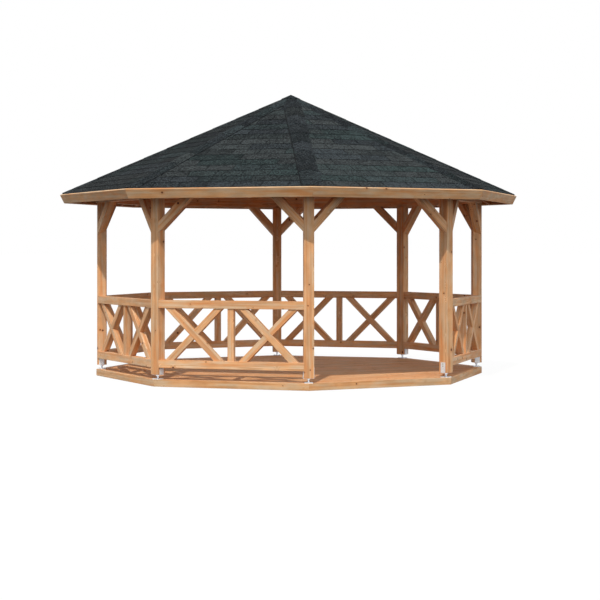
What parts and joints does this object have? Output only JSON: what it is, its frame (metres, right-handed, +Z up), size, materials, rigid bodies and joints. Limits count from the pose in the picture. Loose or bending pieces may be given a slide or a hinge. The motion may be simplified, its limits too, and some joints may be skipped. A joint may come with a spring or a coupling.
{
  "type": "garden gazebo",
  "caption": "Open octagonal timber garden gazebo with a low deck, posts on steel shoes, crossed balustrades, knee braces and a shingled pyramid roof.",
  "frame": {"origin": "on the ground, under the tip of the roof", "axes": "+Z up; the open entrance faces -Y, and +X is to the right of someone who faces the entrance"},
  "size_m": [5.523, 5.523, 3.6269],
  "materials": {
    "frame_timber": "planed softwood, dipped in a light brown wood preservative",
    "deck_timber": "planed softwood, dipped in a light brown wood preservative",
    "roof_timber": "planed softwood, dipped in a light brown wood preservative",
    "shingles": "bitumen shingles with charcoal mineral granules",
    "galvanised_steel": "hot-dip galvanised, dull silver"
  },
  "bodies": {
    "root": {"post_1": "frame_timber", "post_2": "frame_timber", "post_3": "frame_timber", "post_4": "frame_timber", "post_5": "frame_timber", "post_6": "frame_timber", "post_7": "frame_timber", "post_8": "frame_timber", "balustrade_2": "frame_timber", "balustrade_3": "frame_timber", "balustrade_4": "frame_timber", "balustrade_5": "frame_timber", "balustrade_6": "frame_timber", "balustrade_7": "frame_timber", "balustrade_8": "frame_timber", "knee_braces_left": "frame_timber", "knee_braces_right": "frame_timber", "eave_beams_square": "frame_timber", "eave_beams_diagonal": "frame_timber", "fascia_square": "frame_timber", "fascia_diagonal": "frame_timber", "deck_rim_square": "deck_timber", "deck_rim_diagonal": "deck_timber", "deck_floor": "deck_timber", "floor_joists": "deck_timber", "roof_boards_square": "roof_timber", "roof_boards_diagonal": "roof_timber", "hip_rafters": "roof_timber", "jack_rafters": "roof_timber", "roof_hub": "roof_timber", "shingles_square": "shingles", "shingles_diagonal": "shingles", "apex_cap": "shingles", "post_shoe_1": "galvanised_steel", "post_shoe_2": "galvanised_steel", "post_shoe_3": "galvanised_steel", "post_shoe_4": "galvanised_steel", "post_shoe_5": "galvanised_steel", "post_shoe_6": "galvanised_steel", "post_shoe_7": "galvanised_steel", "post_shoe_8": "galvanised_steel"}
  },
  "joints": []
}
